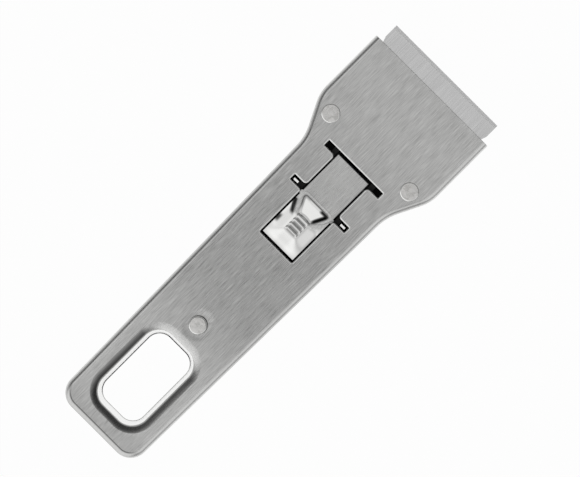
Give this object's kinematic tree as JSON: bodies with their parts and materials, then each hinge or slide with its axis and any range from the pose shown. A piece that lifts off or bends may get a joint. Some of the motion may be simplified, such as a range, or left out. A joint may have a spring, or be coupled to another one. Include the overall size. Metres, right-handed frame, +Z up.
{
  "type": "hob scraper",
  "caption": "Flat stainless hob scraper with a flared head, a wide retractable blade, a sprung ribbed thumb button and a rounded rectangular hanging eye in the handle.",
  "frame": {"origin": "centre of the bounding box on the table plane, blade out", "axes": "+X along the tool towards the cutting edge, +Y to the left, +Z up out of the face with the thumb button"},
  "size_m": [0.1404, 0.044, 0.0064],
  "materials": {
    "cover_steel": "stainless sheet brushed along the tool",
    "rivet_steel": "ground flush, fine random scratches",
    "blade_steel": "cold rolled blade steel with a ground bevel",
    "latch_steel": "polished pressing, brushed on the tongue",
    "inner_steel": "plain rolled steel",
    "spring_steel": "spring strip"
  },
  "bodies": {
    "housing": {"top_cover": "cover_steel", "bottom_cover": "cover_steel", "head_rivet_left": "rivet_steel", "head_rivet_right": "rivet_steel", "handle_rivet": "rivet_steel", "head_spacer_left": "inner_steel", "head_spacer_right": "inner_steel", "handle_spacer": "inner_steel"},
    "slider": {"blade_carrier": "inner_steel", "blade": "blade_steel", "latch_pin": "inner_steel", "latch_spring": "spring_steel", "spring_rivet": "inner_steel"},
    "thumb_latch": {"thumb_latch": "latch_steel"}
  },
  "joints": [
    {"name": "blade_slide", "type": "slide", "parent": "housing", "child": "slider", "axis": [-1, 0, 0], "range_m": [0, 0.007]},
    {"name": "latch_press", "type": "hinge", "parent": "slider", "child": "thumb_latch", "pos_m": [0.0308, 0, 0.0034], "axis": [0, -1, 0], "range_deg": [0, 5], "stiffness_Nm_per_rad": 0.8, "springref_deg": -2.29, "deforming": ["latch_spring"]}
  ]
}
